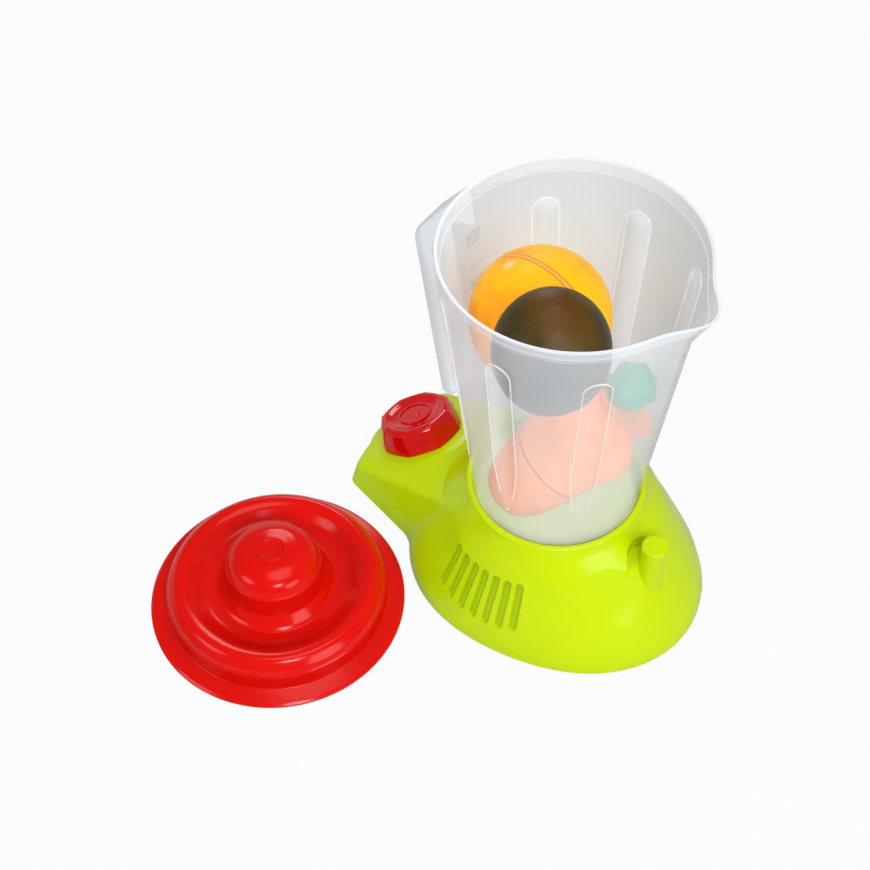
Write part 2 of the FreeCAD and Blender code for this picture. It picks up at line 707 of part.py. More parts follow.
def flute(grow):
    """Long oval dent, drawn about a line beside the jug's wall."""
    off = FLUTE_RADIUS - FLUTE_DEPTH
    end = FLUTE_LENGTH - math.sqrt(FLUTE_RADIUS ** 2 - off ** 2)
    r = FLUTE_RADIUS + grow
    corner = math.sqrt(0.5) * r
    edges = [Part.LineSegment(V(0, 0, -grow), V(off + grow, 0, -grow)),
             Part.LineSegment(V(off + grow, 0, -grow), V(r, 0, FLUTE_TAPER)),
             Part.LineSegment(V(r, 0, FLUTE_TAPER), V(r, 0, end)),
             Part.Arc(V(r, 0, end), V(corner, 0, end + corner), V(0, 0, end + r)),
             Part.LineSegment(V(0, 0, end + r), V(0, 0, -grow))]
    solid = turned(Part.Wire([e.toShape() for e in edges]))
    lean = math.degrees(math.atan(JUG_SLOPE))
    solid.rotate(V(0, 0, 0), Y, lean)
    low = JUG_FOOT + FLUTE_FOOT
    return solid.translated(V(jug_radius(low) + off, 0, low))


def around_jug(shape, bearing):
    copy = shape.copy()
    copy.rotate(V(0, 0, 0), Z, bearing)
    return copy


def handle_line():
    """Outer line of the handle in the XZ plane, from its root at the mouth to its tip."""
    root = JUG_TOP - HANDLE_ROOT_DROP
    shoulder = JUG_MOUTH_RADIUS + HANDLE_REACH
    tip = JUG_FOOT + HANDLE_TIP_UP
    foot = jug_radius(tip) + HANDLE_TIP_OUT
    return [(JUG_MOUTH_RADIUS - 3.0, root, 0),
            (JUG_MOUTH_RADIUS + 1.6, root, 3.0),
            (shoulder + 0.6, root - HANDLE_TOP_RISE + 3.4, HANDLE_SHOULDER),
            (foot, tip, HANDLE_TIP_ROUND)]


def handle():
    """Channel-shaped grip joined only at the mouth, its lower end free."""
    outer = handle_line()
    inner = offset_line(outer, HANDLE_DEPTH)
    heel = (inner[3][0], outer[3][1] + 1.0, HANDLE_TIP_ROUND * 0.8)
    under = (inner[2][0], inner[2][1], HANDLE_SHOULDER - HANDLE_DEPTH)
    arm_z = inner[2][1] + HANDLE_ARM_RISE
    arm = (jug_radius(arm_z) - JUG_WALL * 0.6, arm_z, 0)
    profile = rounded_path([(arm[0], outer[0][1], 0)] + outer[1:] + [heel, under, arm])
    half = HANDLE_WIDTH / 2
    solid = prism(profile, V(0, HANDLE_WIDTH, 0)).translated(V(0, -half, 0))
    edges = [e for e in solid.Edges if e.BoundBox.YLength < TINY
             and e.BoundBox.XMin > JUG_MOUTH_RADIUS and on_line(e, outer)]
    edges += [e for e in solid.Edges if e.BoundBox.YLength < TINY
              and e.BoundBox.ZMax < outer[3][1] + HANDLE_DEPTH]
    solid = solid.makeFillet(HANDLE_EDGE, edges)
    hollow = offset_line(outer, HANDLE_WALL)
    low = hollow[3][1] + HANDLE_WALL
    deep = JUG_FOOT_RADIUS
    pocket = lines([V(x, 0, z) for x, z in ((deep, hollow[1][1]), hollow[1][:2], hollow[2][:2],
                                            (hollow[3][0], low), (deep, low))])
    slot = prism(pocket, V(0, HANDLE_WIDTH - 2 * HANDLE_WALL, 0))
    return solid.cut(slot.translated(V(0, HANDLE_WALL - half, 0)))


def on_line(edge, line):
    """True for an edge whose middle lies on or just inside the line."""
    mid = edge.valueAt((edge.FirstParameter + edge.LastParameter) / 2)
    gaps = []
    for a, b in zip(line, line[1:]):
        start, stop = V(a[0], 0, a[1]), V(b[0], 0, b[1])
        gaps.append(V(mid.x, 0, mid.z).distanceToLine(start, stop - start))
    return min(gaps) < HANDLE_DEPTH * 0.45


def jug():
    outer = jug_core(0.0, JUG_FOOT, JUG_TOP)
    foot = [e for e in outer.Edges if e.BoundBox.ZMax < JUG_FOOT + TINY]
    outer = outer.makeFillet(JUG_FOOT_ROUND, foot)
    inner = jug_core(JUG_WALL, JUG_FOOT + JUG_FLOOR, JUG_TOP)
    mouth = jug_core(RIM_WALL, JUG_TOP - SPOUT_DROP - 5, JUG_TOP)
    mouth = mouth.common(cylinder(120, JUG_TOP - RIM_BAND, JUG_TOP + 5))
    angles = [side * a for a in FLUTE_ANGLES for side in (1, -1)]
    ribs = [around_jug(flute(JUG_WALL), 90.0 + a) for a in angles]
    dents = [around_jug(flute(0.0), 90.0 + a) for a in angles]
    grip = around_jug(handle(), -90.0)
    wall = outer.cut(inner)
    rib = ribs[0].fuse(ribs[1:]).common(outer.common(cylinder(120, JUG_FOOT, JUG_TOP - RIM_BAND)))
    body = wall.fuse([rib, grip])
    body = body.cut(mouth)
    body = body.cut(dents)
    body.rotate(V(0, 0, 0), Z, JUG_TURN)
    return body.removeSplitter()


# ------------------------------------------------------------------ lid
def lid():
    """Stepped dome of one wall, with a plug ring and a lip round the jug's mouth."""
    side = LID_STEP_RADIUS - 1.0
    outer = [(0, LID_TOP, 0),
             (LID_CROWN_RADIUS, LID_TOP - LID_CROWN_FALL, 12.0),
             (LID_HUB_NECK, LID_HUB_SHOULDER, 2.0),
             (LID_HUB_NECK + 1.6, LID_HUB_STEP + 3.4, 2.6),
             (LID_HUB_RADIUS + 1.6, LID_HUB_STEP - 1.4, 3.0),
             (LID_HUB_RADIUS + 3.2, LID_TROUGH, 1.6),
             (LID_TROUGH_RADIUS + 3.0, LID_TROUGH, 9.0),
             (LID_CREST_RADIUS - 4.0, LID_CREST, 10.0),
             (LID_CREST_RADIUS + 3.2, LID_CREST - 1.2, 4.8),
             (side, LID_SIDE_HEIGHT - 3.2, 1.0),
             (side + 0.8, LID_SIDE_HEIGHT - 4.0, 0.5),
             (LID_STEP_RADIUS, LID_LIP + 1.0, 1.0),
             (LID_RADIUS - 1.3, LID_LIP, 0)]
    inner = offset_line(outer, LID_WALL)
    inner[0] = (0, LID_TOP - LID_WALL, 0)
    rim = [(LID_RADIUS, LID_LIP - 0.9, 0.4), (LID_RADIUS, 0, 0.4), (rim_inner(), 0, 0.4)]
    under = LID_LIP - 1.0
    plug = plug_radius()
    back = [(rim_inner(), under, 0.3), (plug, under, 0), (plug, 0, 0.3),
            (LID_STEP_RADIUS - LID_WALL, 0, 0.3)]
    profile = outer[:-1] + [(LID_RADIUS - 1.3, LID_LIP, 0.6)] + rim + back + inner[::-1][2:]
    body = turned(rounded_path(profile))
    high = LID_TOP - LID_CROWN_FALL * LID_RING_RADIUS / LID_CROWN_RADIUS + LID_RING_RISE
    low = high - LID_RING_RISE - LID_WALL * 0.6
    ring = cylinder(LID_RING_RADIUS, low, high)
    ring = ring.cut(cylinder(LID_RING_RADIUS - LID_RING_WIDTH, low - 1, high + 1))
    body = body.fuse(ring).removeSplitter()
    return body.translated(V(LID_X, LID_Y, 0))


def plug_radius():
    """Outside of the ring that drops into the jug's mouth."""
    return JUG_MOUTH_RADIUS - RIM_WALL - LID_RIM_CLEARANCE


def rim_inner():
    return LID_RADIUS - LID_WALL


# ------------------------------------------------------------------ play food
def orange_half(side):
    ball = Part.makeSphere(ORANGE_RADIUS).cut(Part.makeSphere(ORANGE_RADIUS - FOOD_WALL))
    half = ball.common(box(V(0, -40, -40), V(40, 40, 40)))
    if side < 0:
        half.rotate(V(0, 0, 0), Z, 180)
    return half.translated(ORANGE_AT)


def avocado_frame():
    out = V(AVOCADO_LEAN)
    out.normalize()
    touch = ORANGE_AT + out * (ORANGE_RADIUS + FOOD_GAP)
    along = Z - out * Z.dot(out)
    along.normalize()
    across = along.cross(out)
    side = AVOCADO_SIDE - out * AVOCADO_SIDE.dot(out)
    turn = FreeCAD.Matrix(across.x, along.x, out.x, 0, across.y, along.y, out.y, 0,
                          across.z, along.z, out.z, 0, 0, 0, 0, 1)
    return FreeCAD.Placement(touch + side, FreeCAD.Placement(turn).Rotation)


def half_egg(long, wide, deep, low):
    """Half of a three-axis oval, flat face at z = low."""
    ball = Part.makeSphere(1.0)
    stretch = FreeCAD.Matrix(wide, 0, 0, 0, 0, long, 0, 0, 0, 0, deep, 0, 0, 0, 0, 1)
    egg = ball.transformGeometry(stretch)
    return egg.common(box(V(-60, -60, low), V(60, 60, 60)))


def avocado(which):
    skin = half_egg(AVOCADO_LONG, AVOCADO_WIDE, AVOCADO_DEEP, 0)
    core = half_egg(AVOCADO_LONG - FOOD_WALL, AVOCADO_WIDE - FOOD_WALL, AVOCADO_DEEP - FOOD_WALL, 0)
    plate = core.common(box(V(-60, -60, 0), V(60, 60, AVOCADO_FLESH)))
    stone = Part.makeSphere(STONE_RADIUS)
    if which == "skin":
        shape = skin.cut(core)
    elif which == "flesh":
        shape = plate.cut(stone)
    else:
        shape = stone.common(box(V(-20, -20, 0), V(20, 20, 20)))
    shape.Placement = avocado_frame().multiply(shape.Placement)
    return shape


def carrot_line(inset):
    """Half outline of the carrot from its tip to its crown, drawn in by the inset."""
    length = (CARROT_TOP - CARROT_FOOT).Length
    tip = CARROT_TIP_RADIUS
    neck = CARROT_NECK_RADIUS
    line = [V(0, 0, -tip),
            V(tip * 0.72, 0, -tip * 0.69),
            V(tip, 0, 0),
            V(CARROT_BODY_RADIUS, 0, length * 0.55),
            V(neck * 1.13, 0, length * 0.93),
            V(neck * 0.62, 0, length + neck * 0.5),
            V(0, 0, length + neck * 0.62)]
    middle = (line[0].z + line[-1].z) / 2
    shrink = 1 - inset / CARROT_BODY_RADIUS
    stretch = 1 - inset / (middle + tip)
    line = [V(p.x * shrink, 0, middle + (p.z - middle) * stretch) for p in line]
    curve = Part.BSplineCurve()
    curve.interpolate(line, InitialTangent=X, FinalTangent=-X)
    return curve.toShape(), line[0], line[-1]


def carrot_solid():
    """Chubby root turned about its own axis."""
    skin, low, high = carrot_line(0.0)
    return turned(Part.Wire([skin, Part.LineSegment(high, low).toShape()]))


def carrot_shell():
    skin, low, high = carrot_line(0.0)
    lining, inner_low, inner_high = carrot_line(FOOD_WALL)
    edges = [skin, Part.LineSegment(high, inner_high).toShape(), lining,
             Part.LineSegment(inner_low, low).toShape()]
    return turned(Part.Wire(Part.__sortEdges__(edges)))


def along_carrot(shape):
    axis = CARROT_TOP - CARROT_FOOT
    moved = shape.copy()
    moved.Placement = FreeCAD.Placement(CARROT_FOOT, FreeCAD.Rotation(Z, axis)).multiply(moved.Placement)
    return moved


def carrot(which):
    seam = (CARROT_TOP - CARROT_FOOT).Length * CARROT_CUT
    half = box(V(-60, -60, -60), V(60, 60, seam)) if which == "tip" else box(V(-60, -60, seam), V(60, 60, 200))
    return along_carrot(carrot_shell().common(half))


def carrot_leaves():
    """Rough ball of leaves on a short stalk, seated on the carrot's top."""
    radius = LEAF_RADIUS - LEAF_LOBE * 0.35
    lobes = []
    for tilt, count in ((25.0, 3), (66.0, 6), (108.0, 6)):
        for i in range(count):
            at = FreeCAD.Rotation(Y, tilt).multVec(V(0, 0, LEAF_RADIUS - LEAF_LOBE))
            at = FreeCAD.Rotation(Z, i * 360.0 / count + tilt).multVec(at)
            lobes.append(Part.makeSphere(LEAF_LOBE, at + LEAF_AT))
    axis = CARROT_TOP - CARROT_FOOT
    axis.normalize()
    crown = CARROT_TOP + axis * (CARROT_NECK_RADIUS * 0.62 - STALK_RADIUS)
    stalk = LEAF_AT - crown
    lobes.append(Part.makeCylinder(STALK_RADIUS, stalk.Length, crown, stalk))
    ball = Part.makeSphere(radius, LEAF_AT).fuse(lobes)
    leaves = ball.cut(along_carrot(carrot_solid()))
    return max(leaves.Solids, key=lambda solid: solid.Volume)


# ------------------------------------------------------------------ write every piece
def main():
    os.makedirs("parts", exist_ok=True)
    save("base_housing", base_housing())
    save("bottom_cover", bottom_cover())
    for i, (x, y) in enumerate(boss_places()):
        body = screw(SCREW_RADIUS, SCREW_LENGTH, SCREW_HEAD_RADIUS, SCREW_HEAD_HEIGHT)
        save("cover_screw_%d" % (i + 1), body.translated(V(x, y, cover_seat())))
    save("knob_cap", knob_cap())
    save("knob_shaft", knob_shaft())
    save("click_wheel", click_wheel())
    save("knob_washer", knob_washer())
    save("knob_screw", knob_screw())
    save("click_spring", click_spring())
    save("click_spring_screw", click_spring_screw())
    save("jug", jug())
    save("lid", lid())
    save("orange_half_a", orange_half(1))
    save("orange_half_b", orange_half(-1))
    save("avocado_skin", avocado("skin"))
    save("avocado_flesh", avocado("flesh"))
    save("avocado_stone", avocado("stone"))
    save("carrot_tip", carrot("tip"))
    save("carrot_body", carrot("body"))
    save("carrot_leaves", carrot_leaves())


main()
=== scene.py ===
import math
import bmesh
import bpy
from mathutils import Matrix, Vector


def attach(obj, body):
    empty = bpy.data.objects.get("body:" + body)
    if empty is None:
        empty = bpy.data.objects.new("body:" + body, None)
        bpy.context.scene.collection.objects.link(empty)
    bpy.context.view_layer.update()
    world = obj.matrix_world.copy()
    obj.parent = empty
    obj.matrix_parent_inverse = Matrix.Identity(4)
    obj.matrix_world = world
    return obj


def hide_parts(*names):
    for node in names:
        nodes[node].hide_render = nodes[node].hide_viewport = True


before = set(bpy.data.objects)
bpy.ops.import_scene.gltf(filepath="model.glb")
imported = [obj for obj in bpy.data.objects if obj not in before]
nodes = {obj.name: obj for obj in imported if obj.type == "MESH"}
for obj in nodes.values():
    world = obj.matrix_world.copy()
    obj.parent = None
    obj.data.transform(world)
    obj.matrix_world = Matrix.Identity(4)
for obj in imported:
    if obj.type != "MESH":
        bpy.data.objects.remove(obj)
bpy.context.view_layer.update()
scene = bpy.context.scene

MM = 0.001
SAME_SPOT = 2e-6        # corners closer than this are one

# places taken from the solids, in metres
JUG_TOP = 0.2086
JUG_FOOT = 0.0474
JUG_FOOT_RADIUS = 0.0379
JUG_SLOPE = (0.057 - JUG_FOOT_RADIUS) / (JUG_TOP - JUG_FOOT)      # radius won for each metre up the wall
JUG_WALL = 0.002
HANDLE_BEARING = math.radians(-86.5)
LID_AT = (0.1119, -0.0797, 0)
PARTING = (-0.0018, -0.0168, 0.1556)         # middle of the orange, on its parting plane
STEM_SCAR = (0.0043, -0.0305, 0.1832)        # where the orange hung from its tree
RUBBED_SPOT = (0.0222, 0.0100, 0.1908)       # where the rind's paint is rubbed back
CARROT_AXIS = Vector((-27.8, 20.6, 35.0)).normalized()
CARROT_SEAM = (0.00686, 0.00098, 0.0789)     # on the carrot's axis, where its two pieces meet

# the lid's section as (radius from its axis, height, rounding) in millimetres
LID_OUTSIDE = ((0, 40.4, 0), (5.6, 40.4, 0.4), (5.9, 41.5, 0.25), (6.8, 41.5, 0.3), (7.1, 40.7, 0.2),
               (12.4, 40.2, 14.0), (19.8, 37.2, 9.0), (21.9, 31.4, 0.5), (22.8, 31.0, 0.4),
               (23.6, 19.8, 2.6), (27.2, 15.0, 3.0), (28.8, 13.8, 1.6), (35.4, 13.8, 9.0),
               (42.2, 19.3, 8.0), (47.6, 20.4, 4.5), (51.9, 15.6, 3.5), (52.2, 13.2, 1.0),
               (53.0, 12.4, 0.5), (53.2, 3.2, 1.0), (60.5, 2.2, 0.6), (61.8, 1.3, 0.4))
LID_UNDERSIDE = ((61.8, 0, 0.4), (60.0, 0, 0.4), (60.0, 1.2, 0.3), (55.0, 1.2, 0), (55.0, 0, 0.3),
                 (51.4, 0, 0.3), (50.6, 12.0, 0.3), (50.2, 14.7, 2.0), (46.8, 18.4, 3.0),
                 (42.6, 17.4, 5.0), (34.8, 12.0, 10.6), (28.2, 12.0, 3.2), (25.9, 13.6, 4.4),
                 (21.8, 19.2, 3.0), (20.8, 30.4, 1.6), (18.4, 36.1, 5.2), (11.1, 39.1, 14.0),
                 (0, 39.8, 0))

# height in millimetres of each 100 ml in the jug, with the words beside its line
SCALE = ((181.2, "800"), (168.9, ""), (155.9, "600"), (141.9, ""), (126.9, "400"), (110.9, ""),
         (93.5, "200"))


# ------------------------------------------------------------------ helpers
def colour(code):
    """sRGB hex to the linear colour that Blender works in."""
    parts = [int(code[i:i + 2], 16) / 255 for i in (1, 3, 5)]
    return [c / 12.92 if c <= 0.04045 else ((c + 0.055) / 1.055) ** 2.4 for c in parts] + [1.0]


def add(tree, kind, settings=None, links=None):
    """Adds one node, with its settings and the sockets that feed it."""
    made = tree.nodes.new(kind)
    for key, value in (settings or {}).items():
        if isinstance(key, int) or key in made.inputs:
            made.inputs[key].default_value = value
        else:
            setattr(made, key, value)
    for key, socket in (links or {}).items():
        tree.links.new(socket, made.inputs[key])
    return made


def plastic(name):
    """An empty material with its shader and a place to read patterns from."""
    material = bpy.data.materials.new(name)
    material.use_nodes = True
    tree = material.node_tree
    shader = tree.nodes["Principled BSDF"]
    place = add(tree, "ShaderNodeTexCoord").outputs["Object"]
    return material, tree, shader, place


def paint(piece, material):
    """One material for the whole piece."""
    piece.data.materials.clear()
    piece.data.materials.append(material)


def finished(mesh, name, material, body, stands_for=(), sharp=34.0):
    """Turns a bmesh into a piece of the object that rides on one of its bodies."""
    for face in mesh.faces:
        face.smooth = True
    for edge in mesh.edges:
        edge.smooth = len(edge.link_faces) == 2 and edge.calc_face_angle(0.0) < math.radians(sharp)
    data = bpy.data.meshes.new(name)
    mesh.to_mesh(data)
    mesh.free()
    piece = bpy.data.objects.new(name, data)
    scene.collection.objects.link(piece)
    paint(piece, material)
    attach(piece, body)
    if stands_for:
        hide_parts(*stands_for)
    return piece


def moulding(node, name, material, body, sharp=34.0):
    """A copy of a moulded solid with its facets joined, so that curved walls shade smoothly."""
    mesh = bmesh.new()
    mesh.from_mesh(nodes[node].data)
    bmesh.ops.remove_doubles(mesh, verts=mesh.verts, dist=SAME_SPOT)
    bmesh.ops.dissolve_degenerate(mesh, dist=1e-5, edges=mesh.edges)
    return finished(mesh, name, material, body, (node,), sharp)


def beads(node, name, material, body, wanted, thick, crease=24.0):
    """Round beads of thicker plastic along the creases of a moulding that a test picks out; in a whiter
    finish they are partly a painted highlight on those creases.
    """
    mesh = bmesh.new()
    mesh.from_mesh(nodes[node].data)
    bmesh.ops.remove_doubles(mesh, verts=mesh.verts, dist=SAME_SPOT)
    spare = [e for e in mesh.edges if len(e.link_faces) != 2
             or abs(e.calc_face_angle(0.0)) < math.radians(crease)
             or not wanted((e.verts[0].co + e.verts[1].co) / 2)]
    bmesh.ops.delete(mesh, geom=spare, context="EDGES_FACES")
    bmesh.ops.delete(mesh, geom=[v for v in mesh.verts if not v.link_edges], context="VERTS")
    data = bpy.data.meshes.new(name)
    mesh.to_mesh(data)
    mesh.free()
    piece = bpy.data.objects.new(name, data)
    scene.collection.objects.link(piece)
    for other in bpy.context.selected_objects:
        other.select_set(False)
    bpy.context.view_layer.objects.active = piece
    piece.select_set(True)
    bpy.ops.object.convert(target="CURVE")
    piece.data.bevel_depth = thick
    piece.data.bevel_resolution = 1
    piece.data.use_fill_caps = True
    bpy.ops.object.convert(target="MESH")
    piece.select_set(False)
    for face in piece.data.polygons:
        face.use_smooth = True
    paint(piece, material)
    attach(piece, body)
    return piece


def on_flute(spot):
    """Outer creases of the jug's flutes, well away from the handle's root and the mouth."""
    wall = JUG_FOOT_RADIUS + JUG_SLOPE * (spot.z - JUG_FOOT)
    at_handle = spot.y < -0.04 and abs(spot.x) < 0.016
    return (JUG_FOOT + 0.025 < spot.z < JUG_TOP - 0.012 and not at_handle
            and abs(math.hypot(spot.x, spot.y) - wall) < 0.0006)


def turned_lid(material, bends=5, turns=128):
    """The lid as one closed skin of revolution, with a round-shouldered hub."""
    corners = LID_OUTSIDE + LID_UNDERSIDE
    path = [Vector((0, 0, corners[0][1]))]
    for (ax, az, _), (x, z, rounding), (bx, bz, _) in zip(corners, corners[1:], corners[2:]):
        corner = Vector((x, 0, z))
        back = Vector((ax - x, 0, az - z)).normalized()
        ahead = Vector((bx - x, 0, bz - z)).normalized()
        reach = rounding / math.tan(back.angle(ahead) / 2)
        for step in range(bends + 1 if rounding else 1):
            share = step / bends
            path.append(corner + back * reach * (1 - share) ** 2 + ahead * reach * share ** 2)
    path.append(Vector((0, 0, corners[-1][1])))
    mesh = bmesh.new()
    spots = [mesh.verts.new(spot * MM) for spot in path]
    edges = [mesh.edges.new(pair) for pair in zip(spots, spots[1:])]
    bmesh.ops.spin(mesh, geom=spots + edges, cent=(0, 0, 0), axis=(0, 0, 1), angle=math.tau,
                   steps=turns, use_merge=True)
    bmesh.ops.remove_doubles(mesh, verts=mesh.verts, dist=SAME_SPOT)
    bmesh.ops.recalc_face_normals(mesh, faces=mesh.faces)
    bmesh.ops.translate(mesh, vec=LID_AT, verts=mesh.verts)
    return finished(mesh, "red_lid", material, "lid", ("lid",))


def even_facets_and_paint_vent_shade(housing, material):
    """Evens the housing's thin facets, and paints shade into the insides of its vents with a darker lime.
    """
    housing.data.materials.append(material)
    mesh = bmesh.new()
    mesh.from_mesh(housing.data)
    for method, from_middle in (("ANGLE", 0.0), ("AREA", 0.035)):         # once all over, once by the vents
        faces = [f for f in mesh.faces if abs(f.calc_center_median().x) >= from_middle]
        chosen = set(faces)
        flat = [e for e in mesh.edges if e.smooth and chosen.intersection(e.link_faces)
                and e.calc_face_angle(1.0) < math.radians(8)]
        bmesh.ops.beautify_fill(mesh, faces=faces, edges=flat, method=method)
    left = {f for f in mesh.faces
            if abs(f.calc_center_median().x) > 0.04 and f.calc_center_median().z < 0.045}
    while left:
        patch, edge_faces = set(), [left.pop()]
        while edge_faces:
            face = edge_faces.pop()
            patch.add(face)
            for side in face.edges:
                for other in side.link_faces:
                    if other in left and side.calc_face_angle(0.0) < math.radians(20):
                        left.discard(other)
                        edge_faces.append(other)
        if sum(f.calc_area() for f in patch) < 150e-6:          # a vent's side or floor, in square metres
            for face in patch:
                # painted shade: a vent's sides and floor take the darker lime, as if shaded down in the
                # recess
                face.material_index = 1
    for face in mesh.faces:
        face.smooth = True
    mesh.to_mesh(housing.data)
    mesh.free()


def scale_marks(material):
    """Measuring lines for each 100 ml and a number for each 200 ml, on the wall by the handle."""
    marks = bmesh.new()
    for level, words in SCALE:
        line = bmesh.ops.create_cube(marks, size=MM)["verts"]
        bmesh.ops.scale(marks, vec=(8.0, 0.7, 0.2), verts=line)
        bmesh.ops.translate(marks, vec=(0, level * MM, 0), verts=line)
        long_edges = [e for e in marks.edges if e.verts[0] in line
                      and abs(e.verts[0].co.x - e.verts[1].co.x) > 4 * MM]
        bmesh.ops.subdivide_edges(marks, edges=long_edges, cuts=5)
        if words:
            data = bpy.data.curves.new("number", "FONT")
            data.body = words
            data.size = 6.6 * MM
            data.extrude = 0.1 * MM
            data.align_x = "CENTER"
            number = bpy.data.objects.new("number", data)
            flat = bpy.data.meshes.new_from_object(number)
            first = len(marks.verts)
            marks.from_mesh(flat)
            marks.verts.ensure_lookup_table()
            bmesh.ops.translate(marks, vec=(0, (level + 1.6) * MM, 0), verts=marks.verts[first:])
            bpy.data.objects.remove(number)
    for spot in marks.verts:                # bends the flat marks on to the inside of the jug's cone
        across, rise, proud = spot.co
        radius = JUG_FOOT_RADIUS + JUG_SLOPE * (rise - JUG_FOOT) - JUG_WALL - 0.01 * MM
        bearing = HANDLE_BEARING - across / radius
        radius -= proud
        spot.co = (radius * math.cos(bearing), radius * math.sin(bearing), rise)
    finished(marks, "jug_scale", material, "jug")


# ------------------------------------------------------------------ camera
def camera():
    """Looks down at the toy from its front right, a little over half a metre above the jug."""
    place = Vector((0.3975, 0.2954, 0.6936))
    ahead = Vector((-0.4608, -0.4335, -0.7745)).normalized()
    level = Vector((-0.6852, 0.7283, 0.0)).normalized()
    above = level.cross(ahead)
    roll = -0.01162
    right = math.cos(roll) * level + math.sin(roll) * above
    up = math.cos(roll) * above - math.sin(roll) * level
    data = bpy.data.cameras.new("camera")
    data.sensor_width = 36.0
    data.lens = 70.36
    data.clip_end = 20.0
    seat = bpy.data.objects.new("camera", data)
    turn = Matrix((right, up, -ahead)).transposed().to_4x4()
    seat.matrix_world = Matrix.Translation(place) @ turn
    scene.collection.objects.link(seat)
    scene.camera = seat


# ------------------------------------------------------------------ finishes
def glossy_moulding(name, code, roughness, shine=0.2, mottle=0.04, bump=0.02, grain=1.6):
    """Injection moulded plastic: an even glossy colour with a faint flow and a soft skin."""
    material, tree, shader, place = plastic(name)
    flow = add(tree, "ShaderNodeTexNoise", {"Scale": 1 / (38 * MM), "Detail": 3.0}, {"Vector": place})
    tint = add(tree, "ShaderNodeMix", {"data_type": "RGBA", "blend_type": "MULTIPLY", 0: mottle})
    tint.inputs[6].default_value = colour(code)
    tree.links.new(flow.outputs["Fac"], tint.inputs[7])
    skin = add(tree, "ShaderNodeTexNoise", {"Scale": 1 / (grain * MM), "Detail": 2.0}, {"Vector": place})
    relief = add(tree, "ShaderNodeBump", {"Strength": bump, "Distance": 0.2 * MM},
                 {"Height": skin.outputs["Fac"]})
    tree.links.new(tint.outputs[2], shader.inputs["Base Color"])
    tree.links.new(relief.outputs["Normal"], shader.inputs["Normal"])
    shader.inputs["Roughness"].default_value = roughness
    shader.inputs["IOR"].default_value = 1.5
    shader.inputs["Specular IOR Level"].default_value = shine
    return material


def frosted_polypropylene(name, low, high, roughness, wall, band, lip):
    """Thin natural polypropylene: see-through wall, milkier where it is thick at the mouth and the foot."""
    material, tree, shader, place = plastic(name)
    cloud = add(tree, "ShaderNodeTexNoise", {"Scale": 1 / (24 * MM), "Detail": 3.0}, {"Vector": place})
    tone = add(tree, "ShaderNodeValToRGB", links={"Fac": cloud.outputs["Fac"]})
    tone.color_ramp.elements[0].color = colour(low)
    tone.color_ramp.elements[1].color = colour(high)
    tree.links.new(tone.outputs["Color"], shader.inputs["Base Color"])
    haze = add(tree, "ShaderNodeTexNoise", {"Scale": 1 / (0.9 * MM), "Detail": 2.0}, {"Vector": place})
    relief = add(tree, "ShaderNodeBump", {"Strength": 0.05, "Distance": 0.1 * MM},
                 {"Height": haze.outputs["Fac"]})
    tree.links.new(relief.outputs["Normal"], shader.inputs["Normal"])
    shader.inputs["Roughness"].default_value = roughness
    shader.inputs["IOR"].default_value = 1.49
    rise = add(tree, "ShaderNodeSeparateXYZ", links={0: place}).outputs["Z"]
    step = add(tree, "ShaderNodeMapRange", {"From Min": JUG_TOP - 6.8 * MM, "From Max": JUG_TOP - 6.2 * MM,
                                            "To Min": wall, "To Max": band}, {"Value": rise})
    edge = add(tree, "ShaderNodeMapRange", {"From Min": JUG_TOP - 0.8 * MM, "From Max": JUG_TOP - 0.2 * MM,
                                            "To Min": 0.0, "To Max": lip - band}, {"Value": rise})
    foot = add(tree, "ShaderNodeMapRange", {"From Min": JUG_FOOT + 24 * MM, "From Max": JUG_FOOT + 4 * MM,
                                            "To Min": 0.0, "To Max": 0.05}, {"Value": rise})
    upper = add(tree, "ShaderNodeMath", {"operation": "ADD"}, {0: step.outputs[0], 1: edge.outputs[0]})
    total = add(tree, "ShaderNodeMath", {"operation": "ADD"}, {0: upper.outputs[0], 1: foot.outputs[0]})
    tree.links.new(total.outputs[0], shader.inputs["Alpha"])
    return material


def printed_ink():
    """Grey pad printing on the inside of the wall: thin, a little worn, so the wall shows through it."""
    material, tree, shader, place = plastic("grey pad printed ink")
    worn = add(tree, "ShaderNodeTexNoise", {"Scale": 1 / (1.1 * MM), "Detail": 3.0}, {"Vector": place})
    tone = add(tree, "ShaderNodeValToRGB", links={"Fac": worn.outputs["Fac"]})
    tone.color_ramp.elements[0].color = colour("#8E969E")
    tone.color_ramp.elements[1].color = colour("#B4BAC0")
    tree.links.new(tone.outputs["Color"], shader.inputs["Base Color"])
    shader.inputs["Roughness"].default_value = 0.5
    shader.inputs["Alpha"].default_value = 0.24
    return material


def steel():
    """Zinc plated screws and spring: fine directional wear under a dull shine."""
    material, tree, shader, place = plastic("zinc plated steel")
    wear = add(tree, "ShaderNodeTexNoise", {"Scale": 1 / (0.8 * MM), "Detail": 4.0}, {"Vector": place})
    tone = add(tree, "ShaderNodeValToRGB", links={"Fac": wear.outputs["Fac"]})
    tone.color_ramp.elements[0].color = colour("#A9ABAD")
    tone.color_ramp.elements[1].color = colour("#CFD1D2")
    tree.links.new(tone.outputs["Color"], shader.inputs["Base Color"])
    shader.inputs["Metallic"].default_value = 1.0
    shader.inputs["Roughness"].default_value = 0.36
    return material


